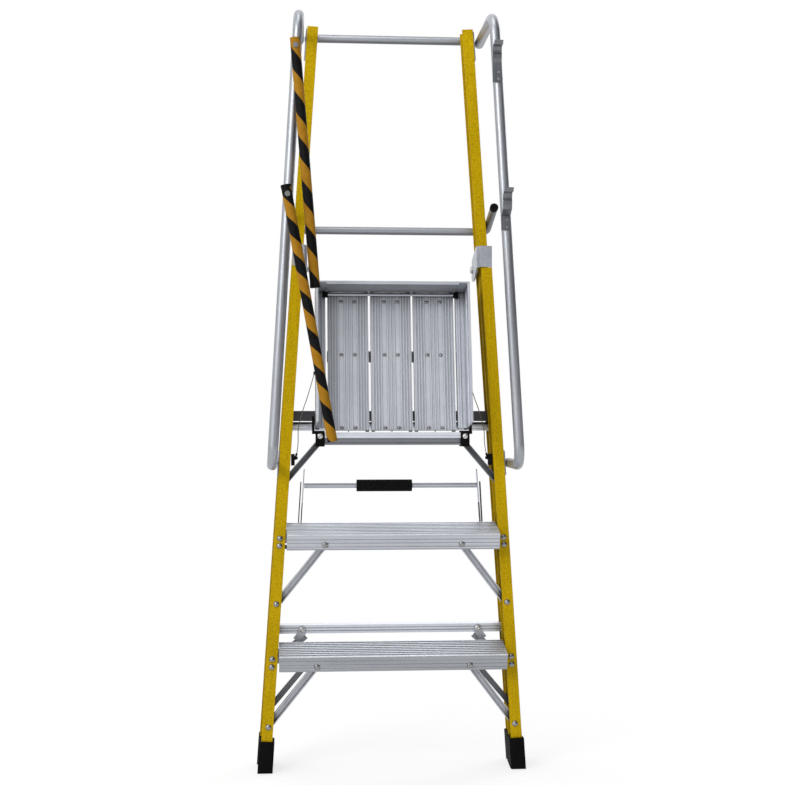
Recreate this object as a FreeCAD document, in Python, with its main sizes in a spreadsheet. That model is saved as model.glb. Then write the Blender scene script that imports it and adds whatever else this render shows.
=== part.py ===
import FreeCAD, Part
import os
import math
import Sketcher

# Folding platform step ladder with guard rails, in its folded (storage) state.
# Millimetres.  X to the user's right, Y away from the climbing side, Z up.
# Origin: middle of the folded ladder's footprint, on the floor.

os.makedirs("parts", exist_ok=True)
doc = FreeCAD.newDocument("platform_step_ladder")
V = FreeCAD.Vector
sheet = doc.addObject("Spreadsheet::Sheet", "dims")


class Q:
    """A number kept together with the spreadsheet expression it comes from."""

    def __init__(self, v, e):
        self.v = float(v)
        self.e = e

    def _o(self, o):
        return o if isinstance(o, Q) else Q(o, "%.6g" % o)

    def __add__(self, o):
        o = self._o(o)
        return Q(self.v + o.v, "(%s + %s)" % (self.e, o.e))

    def __sub__(self, o):
        o = self._o(o)
        return Q(self.v - o.v, "(%s - %s)" % (self.e, o.e))

    def __mul__(self, o):
        o = self._o(o)
        return Q(self.v * o.v, "(%s * %s)" % (self.e, o.e))

    def __truediv__(self, o):
        o = self._o(o)
        return Q(self.v / o.v, "(%s / %s)" % (self.e, o.e))

    def __neg__(self):
        return Q(-self.v, "(0 - %s)" % self.e)


ROW = [1]


def dim(alias, value):
    cell = "A%d" % ROW[0]
    ROW[0] += 1
    sheet.set(cell, "%.6g" % value)
    sheet.setAlias(cell, alias)
    return Q(value, "dims." + alias)


stile_width = dim("stile_width", 27.5)
stile_depth = dim("stile_depth", 50)
stile_wall = dim("stile_wall", 4)
front_length = dim("front_length", 1248)
rear_length = dim("rear_length", 1868)
tread_depth = dim("tread_depth", 92)
tread_height = dim("tread_height", 40)
tread_wall = dim("tread_wall", 2.5)
upper_tread_len = dim("upper_tread_len", 527)
lower_tread_len = dim("lower_tread_len", 564)
beam_len = dim("beam_len", 339.6)
beam_height = dim("beam_height", 31)
beam_depth = dim("beam_depth", 34)
plank_width = dim("plank_width", 103)
plank_len = dim("plank_len", 356.6)
plank_thick = dim("plank_thick", 20)
side_len = dim("side_len", 382)
side_width = dim("side_width", 36)
side_thick = dim("side_thick", 26)
cross_len = dim("cross_len", 568)
rest_len = dim("rest_len", 496)
rail_tube = dim("rail_tube", 12.5)
small_tube = dim("small_tube", 10)
handle_tube_rad = dim("handle_tube_rad", 6.5)
grip_rad = dim("grip_rad", 15)
grip_len = dim("grip_len", 140)
brace_width = dim("brace_width", 18)
brace_depth = dim("brace_depth", 12)
deck_strut_width = dim("deck_strut_width", 15)
boot_height = dim("boot_height", 87)
boot_width = dim("boot_width", 43)
doc.recompute()

# shared positions
A_Y, A_Z = 30.0, 1258.0          # fold pivot
H_Y, H_Z = -30.0, 872.0          # deck pivot
B_Y, B_Z = -33.0, 765.0          # side handrail pivot
LF_Y, LR_Y, L_Z = -8.0, 8.0, 553.0   # spreader link lower pivots
PIN_Z = 707.3                    # spreader middle pin
FSL = math.degrees(math.atan(0.0632))
RSL = math.degrees(math.atan(0.0658))


def wf(z):
    return 251.0 + (1258.0 - z) * 0.0632


def wr(z):
    return 212.0 + (1871.0 - z) * 0.0658


def xt(z):
    return 268.5 + (1307.0 - z) * 0.0572


nodes = []


def keep(obj, name):
    obj.Label = name
    nodes.append(obj)
    return obj


def plc(pos, rot=None):
    return FreeCAD.Placement(V(*pos), rot if rot else FreeCAD.Rotation())


def origin_plane(body, role):
    for f in body.Origin.OriginFeatures:
        if f.Role == role:
            return f
    return None


def prof_body(name, loops, length, placement, sym=False):
    """Body with a closed profile sketched on XY and padded along Z."""
    body = doc.addObject("PartDesign::Body", name + "_body")
    sk = body.newObject("Sketcher::SketchObject", name + "_profile")
    sk.AttachmentSupport = [(origin_plane(body, "XY_Plane"), "")]
    sk.MapMode = "FlatFace"
    g = 0
    for pts in loops:
        n = len(pts)
        val = [(p[0].v if isinstance(p[0], Q) else float(p[0]),
                p[1].v if isinstance(p[1], Q) else float(p[1])) for p in pts]
        for i in range(n):
            a, b = val[i], val[(i + 1) % n]
            sk.addGeometry(Part.LineSegment(V(a[0], a[1], 0), V(b[0], b[1], 0)), False)
        for i in range(n):
            sk.addConstraint(Sketcher.Constraint("Coincident", g + i, 2, g + (i + 1) % n, 1))
        for i in range(n):
            for ax in (0, 1):
                kind = "DistanceX" if ax == 0 else "DistanceY"
                c = sk.addConstraint(Sketcher.Constraint(kind, -1, 1, g + i, 1, val[i][ax]))
                q = pts[i][ax]
                if isinstance(q, Q):
                    sk.setExpression("Constraints[%d]" % c, q.e)
        g += n
    pad = body.newObject("PartDesign::Pad", name + "_pad")
    pad.Profile = sk
    if isinstance(length, Q):
        pad.Length = length.v
        pad.setExpression("Length", length.e)
    else:
        pad.Length = length
    if sym:
        try:
            pad.SideType = "Symmetric"
        except Exception:
            pad.Midplane = True
    body.Tip = pad
    body.Placement = placement
    return keep(body, name)


def feat(name, shape):
    o = doc.addObject("Part::Feature", name + "_solid")
    o.Shape = shape
    return keep(o, name)


def box(x0, y0, z0, x1, y1, z1):
    b = Part.makeBox(x1 - x0, y1 - y0, z1 - z0)
    b.translate(V(x0, y0, z0))
    return b


def cyl(p, d, r, h):
    return Part.makeCylinder(r, h, V(*p), V(*d))


# --- stiles -----------------------------------------------------------------
def stile(name, side, length, slope, top_or_base_x, y0, z0):
    w, d, t = stile_width, stile_depth, stile_wall
    if side > 0:   # outer face at x=0, opening towards -x
        pts = [(0, 0), (0, d), (-w, d), (-w, d - t), (-t, d - t), (-t, t), (-w, t), (-w, 0)]
    else:
        pts = [(0, 0), (w, 0), (w, t), (t, t), (t, d - t), (w, d - t), (w, d), (0, d)]
    rot = FreeCAD.Rotation(V(0, 1, 0), -slope * side)
    return prof_body(name, [pts], length, plc((side * top_or_base_x, y0, z0), rot))


for side, nm in ((-1, "left"), (1, "right")):
    stile("front_stile_" + nm, side, front_length, FSL, wf(12), -58, 12)
    stile("rear_stile_" + nm, side, rear_length, RSL, wr(12), 8, 12)


def rot_y(shape, deg, centre):
    shape.rotate(V(*centre), V(0, 1, 0), deg)
    return shape


def boot(name, side, front):
    """Rubber boot on a stile's end; its sole is flat along the outer edge and rises inwards."""
    slope = FSL if front else RSL
    xo = wf(12) if front else wr(12)
    y0, y1 = (-64.5, -2.5) if front else (2.5, 64.5)
    yb = -58 if front else 8
    side_in, side_out = (5.5, 4.6) if front else (4.0, 2.4)
    blk = box(-stile_width.v - side_in, y0 - yb, -40, side_out, y1 - yb, 66)
    edges = [e for e in blk.Edges if abs(e.Vertexes[0].Z - e.Vertexes[1].Z) > 50]
    blk = blk.makeFillet(3.0, edges)
    top = [e for e in blk.Edges if e.BoundBox.ZMin > 65]
    blk = blk.makeChamfer(1.6, top)
    blk = blk.cut(box(-stile_width.v - 0.2, -0.2, 0, 0.2, stile_depth.v + 0.2, 200))
    blk.rotate(V(0, 0, 0), V(0, 1, 0), -slope)
    blk.translate(V(xo, yb, 12))
    rise = 9.0
    if front:
        prof = [(y0 - 5, 0), (y0 + 18, 0), (y1 + 5, rise), (y1 + 5, 120), (y0 - 5, 120)]
    else:
        prof = [(y1 + 5, 0), (y1 + 5, 120), (y0 - 5, 120), (y0 - 5, rise), (y1 - 18, 0)]
    w = Part.makePolygon([V(200, p[0], p[1]) for p in prof] + [V(200, prof[0][0], prof[0][1])])
    blk = blk.common(Part.Face(w).extrude(V(300, 0, 0)))
    if side < 0:
        blk = blk.mirror(V(0, 0, 0), V(1, 0, 0))
    return feat(name, blk)


for side, nm in ((-1, "left"), (1, "right")):
    boot("front_boot_" + nm, side, True)
    boot("rear_boot_" + nm, side, False)

# --- treads -----------------------------------------------------------------
TILT = 15.5


def tread(name, length, zf):
    """Ribbed hollow tread; its top slopes down to the front while folded."""
    D, H, t = tread_depth, tread_height, tread_wall
    outer = [(0.6, -1.2), (0, -4)]
    for g in (12.5, 22.0, 31.5):
        outer += [(0, -(g - 1.3)), (1.1, -g), (0, -(g + 1.3))]
    outer += [(0, -(H - 4)), (2.0, -H), (6, -H), (6, -(H - t)), (4, -(H - t)), (t, -(H - 8)), (t, -(t + 1))]
    ribs = [(D - t, -t), (D - t, -18), (D - 10, -18), (D - 10, -(t + 18)), (D, -(t + 18))]
    top = [(D, 0)]
    n = 8
    step = 10.6
    for i in range(n):
        x = D - 4 - i * step
        top += [(x, 0), (x - 0.8, 2.2), (x - 4.4, 2.2), (x - 5.2, 0)]
    pts = outer + ribs + top + [(3.5, 0)]
    rot = FreeCAD.Rotation(V(1, 0, 0), TILT) * FreeCAD.Rotation(
        FreeCAD.Matrix(0, 0, 1, 0, 1, 0, 0, 0, 0, 1, 0, 0, 0, 0, 0, 1))
    return prof_body(name, [pts], length, plc((-length.v / 2, -110, zf), rot))


UT_Z, LT_Z = 590.5, 292.5
tread("upper_tread", upper_tread_len, UT_Z)
tread("lower_tread", lower_tread_len, LT_Z)


# --- braces -----------------------------------------------------------------
def strut(name, p0, p1, w=None):
    """Open channel strut from p0 to p1, its mouth to the front."""
    d = (V(*p1) - V(*p0))
    L = d.Length
    z = V(d).normalize()
    y = V(0, 1, 0) - z * z.y
    y.normalize()
    x = y.cross(z)
    w, dp = (w or brace_width), brace_depth
    pts = [(-w / 2, dp / 2), (-w / 2, -dp / 2), (-w / 2 + 3, -dp / 2), (-w / 2 + 3, dp / 2 - 3),
           (w / 2 - 3, dp / 2 - 3), (w / 2 - 3, -dp / 2), (w / 2, -dp / 2), (w / 2, dp / 2)]
    m = FreeCAD.Matrix(x.x, y.x, z.x, 0, x.y, y.y, z.y, 0, x.z, y.z, z.z, 0, 0, 0, 0, 1)
    return prof_body(name, [pts], L, plc(p0, FreeCAD.Rotation(m)))


for side, nm in ((-1, "left"), (1, "right")):
    strut("upper_tread_brace_" + nm, (side * 168, -85.5, 568), (side * 281, -41.0, 423))
    strut("lower_tread_brace_" + nm, (side * 188, -85.5, 270), (side * 300, -41.0, 123))
    strut("deck_strut_" + nm, (side * 180.5, -31.2, 819.5), (side * 266, -31.2, 720), deck_strut_width)

def strut_shape(p0, p1, w=18.0, dp=11.0):
    d = V(*p1) - V(*p0)
    L = d.Length
    z = V(d).normalize()
    y = V(0, 1, 0) - z * z.y
    y.normalize()
    x = y.cross(z)
    o = box(-w / 2, -dp / 2, 0, w / 2, dp / 2, L).cut(box(-w / 2 + 2, -dp / 2 + 2, -1, w / 2 - 2, dp, L + 1))
    m = FreeCAD.Matrix(x.x, y.x, z.x, p0[0], x.y, y.y, z.y, p0[1], x.z, y.z, z.z, p0[2], 0, 0, 0, 1)
    o.transformShape(m)
    return o


feat("lower_tread_rear_braces", Part.makeCompound(
    [strut_shape((k * 190, -15.2, 288), (k * 300, -15.2, 158), 14.0, 6.0) for k in (-1, 1)]))
feat("rear_corner_braces", Part.makeCompound(
    [strut_shape((k * 215, 34, 325.6), (k * 290, 34, 263.6)) for k in (-1, 1)]))

# --- rear frame cross members -------------------------------------------------
X2X = FreeCAD.Rotation(FreeCAD.Matrix(0, 0, 1, 0, 1, 0, 0, 0, 0, 1, 0, 0, 0, 0, 0, 1))


def bar_x(name, loops, length, y, z):
    """Extrusion along X centred on the middle plane; profile x is depth, y is up."""
    Lv = length.v if isinstance(length, Q) else length
    return prof_body(name, loops, length, plc((-Lv / 2, y, z), X2X))


def grooved(d, h, n, g):
    """Rectangle d deep and h high with n shallow grooves on the front face."""
    pts = [(0, 0), (d, 0), (d, h), (0, h)]
    pitch = h / (n + 1.0)
    for i in range(n):
        zc = h - pitch * (i + 1)
        pts += [(0, zc + 1), (g, zc + 1), (g, zc - 1), (0, zc - 1)]
    return pts


bar_x("rear_crossbar", [grooved(38, 21, 2, 1.4), [(2.5, 2.5), (35.5, 2.5), (35.5, 18.5), (2.5, 18.5)]],
      Q(2, "2") * 303, 14, 333)
bar_x("deck_rest_channel", [[(0, 0), (17, 0), (17, 2.5), (2.5, 2.5), (2.5, 23.5), (17, 23.5), (17, 26), (0, 26)]],
      Q(2, "2") * 268.5, 13, 870)


def tube_x(name, r, L, y, z, wall=2.0):
    o = Part.makeCylinder(r, L, V(-L / 2, y, z), V(1, 0, 0))
    i = Part.makeCylinder(r - wall, L + 2, V(-L / 2 - 1, y, z), V(1, 0, 0))
    return o.cut(i)


def cyl_node(name, rad, length, y, z, wall=2.0):
    """Tube along X as a parametric cut of two cylinders."""
    a = doc.addObject("Part::Cylinder", name + "_outer")
    b = doc.addObject("Part::Cylinder", name + "_bore")
    Lv = length.v if isinstance(length, Q) else length
    for o, r in ((a, rad), (b, rad - wall)):
        o.Radius = r.v if isinstance(r, Q) else r
        if isinstance(r, Q):
            o.setExpression("Radius", r.e)
        o.Height = Lv
        if isinstance(length, Q):
            o.setExpression("Height", length.e)
        o.Placement = plc((-Lv / 2, y, z), FreeCAD.Rotation(V(0, 1, 0), 90))
    c = doc.addObject("Part::Cut", name + "_tube")
    c.Base = a
    c.Tool = b
    return keep(c, name)


cyl_node("deck_rest_tube", Q(11.5, "11.5"), Q(2, "2") * 268.5, 30, 856.5)
cyl_node("handle_tube", handle_tube_rad, Q(2, "2") * 219.0, 0, PIN_Z, 1.5)


def path_tube(pts, r, bend, wall=None):
    """Bent tube: straight runs joined by tangent arcs."""
    P = [V(*p) for p in pts]
    edges = []
    cur = P[0]
    for i in range(1, len(P) - 1):
        a = (P[i - 1] - P[i])
        b = (P[i + 1] - P[i])
        la, lb = a.Length, b.Length
        a.normalize()
        b.normalize()
        ang = math.acos(max(-1, min(1, a.dot(b))))
        turn = math.pi - ang
        rr = bend if bend else 0.45 * min(la, lb) / math.tan(turn / 2)
        t = rr * math.tan(turn / 2)
        t = min(t, 0.45 * min(la, lb))
        rr = t / math.tan(turn / 2)
        p1 = P[i] + a * t
        p2 = P[i] + b * t
        bis = (a + b).normalize()
        mid = P[i] + bis * (rr / math.cos(turn / 2) - rr)
        edges.append(Part.LineSegment(cur, p1).toShape())
        edges.append(Part.Arc(p1, mid, p2).toShape())
        cur = p2
    edges.append(Part.LineSegment(cur, P[-1]).toShape())
    w = Part.Wire(edges)

    def sweep(rad):
        c = Part.Wire([Part.Circle(P[0], P[1] - P[0], rad).toShape()])
        return w.makePipeShell([c], True, False)
    s = sweep(r)
    if wall:
        s = s.cut(sweep(r - wall))
    return s


# guard rails of the rear frame
tr = tube_x("top_rail", 10.4, 420, 68.8, 1859)
feat("top_rail", tr)
feat("mid_rail", path_tube([(-255.6, -60, 1405), (-255.6, 76, 1363), (255.6, 76, 1363), (255.6, -60, 1405)],
                           10, 20, 1.8))
d = V(0, -136, 42).normalize()
caps = []
for s in (-1, 1):
    p = V(s * 255.6, -60, 1405) + d * 0.1
    c = Part.makeCylinder(10.6, 9, p, d)
    caps.append(c)
feat("mid_rail_caps", Part.makeCompound(caps))

plates = []
for s in (-1, 1):
    p = box(0, 0, 0, 3.2, 40, 74)
    p.translate(V(0.3, 0, 0))
    p.rotate(V(0, 0, 0), V(0, 1, 0), -RSL)
    p.translate(V(wr(1797), 13, 1797))
    p = p.fuse(Part.makeCylinder(6, 1.9, V(wr(1848) + 3.2, 33, 1848), V(1, 0, 0)))
    plates.append(p if s > 0 else p.mirror(V(0, 0, 0), V(1, 0, 0)))
feat("post_top_plates", Part.makeCompound(plates))

bolts = []
for s in (-1, 1):
    b = Part.makeCylinder(6.0, 35.6, V(212, A_Y, A_Z), V(1, 0, 0)).fuse(
        Part.makeCylinder(8.5, 5, V(207.9, A_Y, A_Z), V(1, 0, 0)))
    bolts.append(b if s > 0 else b.mirror(V(0, 0, 0), V(1, 0, 0)))
feat("fold_pivot_bolts", Part.makeCompound(bolts))

# --- front frame: brackets ----------------------------------------------------
anchors = []
for s, nm in ((-1, "left"), (1, "right")):
    # face plate on the stile, a return along its edge, a joggle inwards and the hinge cheek
    fr = box(219.8, -61.6, 1258, 250.6, -58.4, 1311)
    ret = box(219.8, -61.6, 1258, 222.9, -46.4, 1311)
    jog = box(213.2, -50, 1258, 222.9, -46.4, 1311)
    yz = [(-50, 1258), (-50, 1311), (-34, 1311), (42, 1284), (47, 1270), (47, 1238), (38, 1229), (2, 1229)]
    w = Part.makePolygon([V(213.2, q[0], q[1]) for q in yz + [yz[0]]])
    ck = Part.Face(w).extrude(V(3.6, 0, 0))
    top = box(219.8, -61.6, 1307.8, 250.6, -46.4, 1311)
    br = fr.fuse([ret, jog, ck, top])
    br = br.cut(Part.makeCylinder(6.06, 30, V(205, A_Y, A_Z), V(1, 0, 0)))
    if s < 0:
        br = br.mirror(V(0, 0, 0), V(1, 0, 0))
    feat("hinge_bracket_" + nm, br.removeSplitter())

    hp = box(0.3, 0, 0, 3.8, 40, 62)
    hp.rotate(V(0, 0, 0), V(0, 1, 0), -FSL)
    hp.translate(V(wf(734), -53, 734))
    hp = hp.cut(Part.makeCylinder(4.0, 20, V(275, B_Y, B_Z), V(1, 0, 0)))
    if s < 0:
        hp = hp.mirror(V(0, 0, 0), V(1, 0, 0))
    feat("handrail_plate_" + nm, hp)

    an = box(243.5, -50, 759.5, 252.6, -30, 788)
    an = an.cut(box(240, -46, 761.5, 249, -34, 800))
    if s < 0:
        an = an.mirror(V(0, 0, 0), V(1, 0, 0))
    anchors.append(an)

    cb = box(170, -75, 807, 192, -38, 846)
    arm = box(184, -58, 838, 200.6, -38, 846)
    ear = Part.Face(Part.makePolygon([V(194.8, -58, 840), V(194.8, -50, 868), V(194.8, -38, 883), V(194.8, -24, 883),
                                      V(194.8, -18, 872), V(194.8, -38, 840), V(194.8, -58, 840)])).extrude(V(5.8, 0, 0))
    cb = cb.fuse([arm, ear]).cut(Part.makeCylinder(4.06, 20, V(188, H_Y, H_Z), V(1, 0, 0)))
    cb = cb.cut(box(169, -71, 812, 175.6, -42, 842))
    if s < 0:
        cb = cb.mirror(V(0, 0, 0), V(1, 0, 0))
    feat("beam_corner_" + nm, cb.removeSplitter())

feat("wire_anchors", Part.makeCompound(anchors))

# the beam's face has a flush upper band and a long recess above its lower lip
bar_x("deck_front_beam", [[(0, 0), (beam_depth, 0), (beam_depth, beam_height), (0, beam_height), (0, 17), (5, 17), (5, 4), (0, 4)],
                          [(7.5, 2.5), (31.5, 2.5), (31.5, 28.5), (2.5, 28.5), (2.5, 19.5), (7.5, 19.5)]],
      beam_len, -73, 811)

# dome rivets on the stile flanges and bolts on the tread faces
fast = []


def dome(x, y, z, r, h, dirv=(0, -1, 0)):
    R = (r * r + h * h) / (2 * h)
    dv = V(*dirv)
    c = V(x, y, z) - dv * (R - h)
    sp = Part.makeSphere(R, c)
    cut = Part.makeCylinder(r * 1.01, h * 1.05, V(x, y, z), dv)
    return sp.common(cut)


for s in (-1, 1):
    for z in (579, 560.5):
        fast.append(dome(s * (wf(z) - 14), -58.05, z, 7.6, 4.4))
    for z in (280, 260.5):
        fast.append(dome(s * (wf(z) - 14), -58.05, z, 7.6, 4.4))
    fast.append(dome(s * (wf(416) - 15.5), -58.05, 416, 7.6, 4.4))
    fast.append(dome(s * (wf(112) - 15.5), -58.05, 112, 7.6, 4.4))
feat("front_frame_rivets", Part.makeCompound(fast))

# --- deck -------------------------------------------------------------------
DL = FreeCAD.Rotation(V(1, 0, 0), -11.0)
DP = FreeCAD.Placement(V(0, H_Y, H_Z), DL)


def deck_place(shape):
    shape.Placement = DP.multiply(shape.Placement)
    return shape


def dpl(x, y, z):
    p = DP.multVec(V(x, y, z))
    return FreeCAD.Placement(p, DL)


for k, nm in ((-1, "left"), (0, "centre"), (1, "right")):
    w = plank_width
    f = [(-w / 2, 0), (-w / 2, -plank_thick)]
    for x in (-46, -39, -32, -25, -9, 0, 9, 25, 32, 39, 46):
        f += [(x - 1.6, -plank_thick), (x - 1.6, -plank_thick - 1.8), (x + 1.6, -plank_thick - 1.8),
              (x + 1.6, -plank_thick)]
    f += [(w / 2, -plank_thick), (w / 2, 0), (w / 2 - 9, 0), (w / 2 - 9, -2.2), (w / 2 - 2.4, -2.2),
          (w / 2 - 2.4, -plank_thick + 2.6), (1.2, -plank_thick + 2.6), (1.2, 0), (-1.2, 0),
          (-1.2, -plank_thick + 2.6), (-w / 2 + 2.4, -plank_thick + 2.6), (-w / 2 + 2.4, -2.2),
          (-w / 2 + 9, -2.2), (-w / 2 + 9, 0)]
    prof_body("deck_plank_" + nm, [f], plank_len, dpl(k * 109.0, 0, -29.6))

for s, nm in ((-1, "left"), (1, "right")):
    a, b = s * 166.0, s * 192.5
    prof = [(a, 1), (a, -22), (a + s * 6, -22), (a + s * 6, -24.5), (a + s * 10, -24.5), (a + s * 10, -22),
            (b - s * 4, -22), (b - s * 3.2, -60), (b - s * 5.2, -61.5), (b - s * 5.2, -64.5), (b - s * 3.2, -66),
            (b - s * 3.2, -106), (b - s * 6, -108), (b - s * 6, -112), (b, -112), (b, 1),
            (b - s * 10, 1), (b - s * 10, -1.5), (b - s * 2.6, -1.5), (b - s * 2.6, -19.5), (a + s * 2.5, -19.5), (a + s * 2.5, 1)]
    w = Part.makePolygon([V(p[0], p[1], -24) for p in prof] + [V(prof[0][0], prof[0][1], -24)])
    sd = Part.Face(w).extrude(V(0, 0, 352))
    pin = Part.makeCylinder(4.0, 11.4, V(s * 189.4, 0, 0), V(s, 0, 0))
    lug = Part.makeCylinder(9, 4, V(s * 188.2, -6, 0), V(s, 0, 0)).common(box(-300, -24, -20, 300, 1, 20))
    sd = sd.fuse([pin, lug]).removeSplitter()
    feat("deck_side_" + nm, deck_place(sd))

g = []
for i in range(8):
    y = -34 - i * 9.2
    g += [(y, 328.6), (y, 326.6), (y - 3.4, 326.6), (y - 3.4, 328.6)]
prof = [(1, 328.6), (1, 332), (-112, 332), (-112, 324), (-108.5, 324), (-108.5, 328.6)] + list(reversed(g))
w = Part.makePolygon([V(-192.3, p[0], p[1]) for p in prof] + [V(-192.3, prof[0][0], prof[0][1])])
tb = Part.Face(w).extrude(V(384.6, 0, 0))
# the board's ends are notched over the side walls
for s in (-1, 1):
    tb = tb.cut(box(min(s * 165.5, s * 200), -115, 320, max(s * 165.5, s * 200), 5, 328.3))
feat("deck_toe_board", deck_place(tb))

rod = Part.makeCylinder(3.6, 329, V(-164.5, -29.4, 319.4), V(1, 0, 0))
feat("deck_rod", deck_place(rod))
blk = []
for s in (-1, 1):
    b = box(min(s * 160, s * 173), -34, 312, max(s * 160, s * 173), -24.8, 325.6)
    b = b.cut(Part.makeCylinder(3.65, 400, V(-200, -29.4, 319.4), V(1, 0, 0)))
    blk.append(b)
feat("deck_rod_blocks", deck_place(Part.makeCompound(blk)))

rv = []
for k in (-1, 0, 1):
    for x in (-17.0, 17.0):
        for z in (-23, 164.5, 303):
            rv.append(dome(k * 109.0 + x, -plank_thick.v - 0.05, z, 4.6, 2.8))
feat("deck_rivets", deck_place(Part.makeCompound(rv)))

# --- side handrails -----------------------------------------------------------
for s, nm in ((-1, "left"), (1, "right")):
    pts = [(s * xt(765), -20, 765), (s * xt(763), -195, 763), (s * xt(1862), -195, 1862),
           (s * (xt(1850) - 4.5), 46, 1847)]
    hr = path_tube(pts, rail_tube.v, 46, 2)
    feat("handrail_" + nm, hr.fuse(Part.makeCylinder(3.94, 5.7, V(s * 283.1, B_Y, B_Z), V(s, 0, 0))).removeSplitter())


def strip(prof, x, wd, th):
    """Bent flat strip from a centre line in the YZ plane."""
    P = [V(0, p[0], p[1]) for p in prof]
    up, dn = [], []
    for i, p in enumerate(P):
        a = P[max(i - 1, 0)]
        b = P[min(i + 1, len(P) - 1)]
        t = (b - a).normalize()
        n = V(0, -t.z, t.y)
        up.append(p + n * (th / 2))
        dn.append(p - n * (th / 2))
    loop = up + dn[::-1]
    w = Part.makePolygon([V(x - wd / 2, q.y, q.z) for q in loop] + [V(x - wd / 2, loop[0].y, loop[0].z)])
    return Part.Face(w).extrude(V(wd, 0, 0))


def hook(name, zc, yb, x):
    """Gate hook: tab on the tube, seat, concave arch behind the bar, lip above it."""
    yt = -195 - rail_tube.v - 1.2
    r = 14.2
    pts = [(yt, zc - 74), (yt, zc - 40)]
    back = yb + r
    pts += [(back + 1.5, zc - 26), (back - 1.0, zc - 17)]
    for a in range(-30, 121, 15):
        t = math.radians(a)
        pts.append((yb + r * math.cos(t), zc + r * math.sin(t)))
    pts.append((yb - r * 0.5 - 7, zc + r * 0.866 + 9))
    return feat(name, strip(pts, x, 22, 1.8))


BU, BL = -225.5, -252.0
hook("gate_hook_upper", 1765, BU, xt(1765))
hook("gate_hook_lower", 1406, BL, xt(1406))


def bar(name, p, q, yb, r, over):
    P = V(p[0], yb, p[1])
    E = V(q[0], yb, q[1])
    dv = (E - P).normalize()
    st = P - dv * over
    L = (E - st).Length
    b = Part.makeCylinder(r, L, st, dv).cut(Part.makeCylinder(r - 1.8, L + 2, st - dv, dv))
    b = b.cut(Part.makeCylinder(3.06, 60, V(p[0], yb - 30, p[1]), V(0, 1, 0)))
    return feat(name, b), st, E, dv


U, ust, uend, udv = bar("upper_gate_bar", (-245.3, 1765), (-198.4, 1195), BU, 12.0, 20)
Lb, lst, lend, ldv = bar("lower_gate_bar", (-264.4, 1406), (-157.5, 822), BL, 12.0, 16)


def cap(name, p, dv, r):
    c = Part.makeCylinder(r + 0.5, 7, p + dv * 0.1, dv)
    return feat(name, c)


cap("upper_gate_bar_cap", uend, udv, 12.0)
cap("lower_gate_bar_cap", lst, ldv * -1, 12.0)
scr = []
for (x, z), yb in (((-245.3, 1765), BU), ((-264.4, 1406), BL)):
    y0 = -195 - rail_tube.v + 0.4
    a = Part.makeCylinder(3.0, abs(yb - 15.5 - y0), V(x, y0, z), V(0, -1, 0))
    h = Part.makeCylinder(6.5, 3, V(x, yb - 12.4, z), V(0, -1, 0))
    o = a.fuse(h)
    if yb < -240:
        o = o.fuse(Part.makeCylinder(6.5, abs(yb + 12.4 - y0) - 0.4, V(x, y0, z), V(0, -1, 0)))
    o = o.cut(Part.makeCylinder(rail_tube.v + 0.02, 200, V(-xt(z - 100), -195, z - 100),
                                V(-(xt(z + 100) - xt(z - 100)), 0, 200)))
    scr.append(o)
feat("gate_pivot_screws", Part.makeCompound(scr))


# --- spreader -----------------------------------------------------------------
def link(name, side, x0, p0, p1, over, boss_to, pin):
    th = 2.6
    lean = 0.06
    dv = V(0, p1[0] - p0[0], p1[1] - p0[1])
    L = dv.Length
    dv.normalize()
    n = V(0, dv.z, -dv.y)
    a = V(x0, p0[0], p0[1])
    e = a + dv * (L + over)
    w = Part.makePolygon([a + n * 6, e + n * 6, e - n * 6, a - n * 6, a + n * 6])
    pl = Part.Face(w).extrude(V(th, 0, 0))
    pl = pl.fuse([Part.makeCylinder(6, th, a, V(1, 0, 0)), Part.makeCylinder(6, th, e, V(1, 0, 0))])
    sh = FreeCAD.Matrix(1, 0, -lean, lean * p1[1], 0, 1, 0, 0, 0, 0, 1, 0, 0, 0, 0, 1)
    pl = pl.transformGeometry(sh)
    xb = x0 + lean * (p1[1] - p0[1]) + 1.3
    pl = pl.fuse(Part.makeCylinder(5, boss_to - xb, V(xb, p0[0], p0[1]), V(1, 0, 0)))
    if not pin:
        pl = pl.cut(Part.makeCylinder(3.5, 20, V(x0 - 5, p1[0], p1[1]), V(1, 0, 0)))
    pl = pl.removeSplitter()
    if side < 0:
        pl = pl.mirror(V(0, 0, 0), V(1, 0, 0))
    return feat(name, pl)


for s, nm in ((-1, "left"), (1, "right")):
    link("front_link_" + nm, s, 220.2, (LF_Y, L_Z), (0.0, PIN_Z), 36, 266.0, True)
    link("rear_link_" + nm, s, 226.6, (LR_Y, L_Z), (0.0, PIN_Z), 4, 267.5, False)
grip = Part.makeCylinder(grip_rad.v, grip_len.v, V(-grip_len.v / 2 - 16.5, 0, PIN_Z), V(1, 0, 0)).cut(
    Part.makeCylinder(handle_tube_rad.v + 0.02, 200, V(-116.5, 0, PIN_Z), V(1, 0, 0)))
feat("handle_grip", grip)

# --- deck wires ---------------------------------------------------------------
wires = []
for s, nm in ((-1, "left"), (1, "right")):
    pts = [(s * 194.2, -9.5, 990), (s * 208, -14, 940), (s * 225, -19, 893), (s * 236, -27, 848),
           (s * 234, -34, 815), (s * 238.5, -39, 789)]
    wires.append(path_tube(pts, 1.1, None))
feat("deck_wires", Part.makeCompound(wires))

doc.recompute()
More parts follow.
